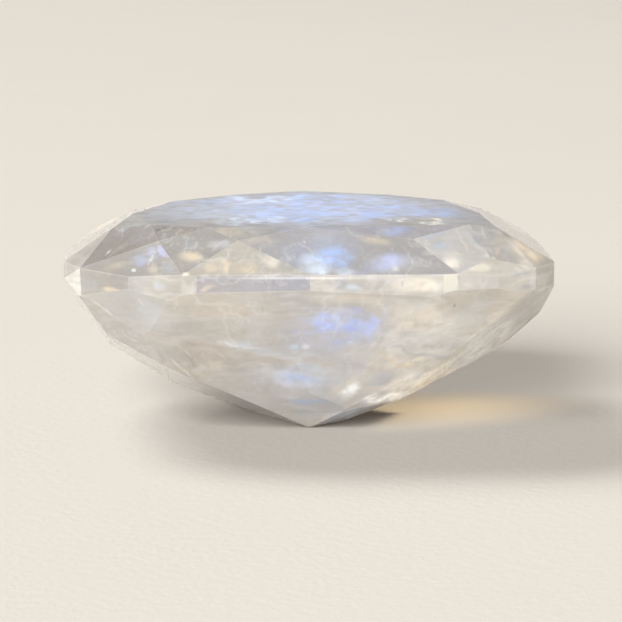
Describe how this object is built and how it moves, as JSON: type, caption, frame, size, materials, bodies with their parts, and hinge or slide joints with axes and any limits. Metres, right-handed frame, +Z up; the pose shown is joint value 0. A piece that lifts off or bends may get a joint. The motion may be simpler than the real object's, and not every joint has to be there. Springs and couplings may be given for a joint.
{
  "type": "faceted moonstone",
  "caption": "Cushion-shaped faceted rainbow moonstone with a flat table, a thin faceted girdle and a low pointed underside ending in a small flat foot.",
  "frame": {"origin": "on the level of the small flat foot at the lower tip, under the middle of the stone's outline", "axes": "+X along the stone's length, +Y from its front to its back, +Z up and square to the table"},
  "size_m": [0.0239, 0.0185, 0.0109],
  "materials": {
    "moonstone": "polished, milky and see-through, with blue and golden glints inside"
  },
  "bodies": {
    "root": {"moonstone": "moonstone"}
  },
  "joints": []
}
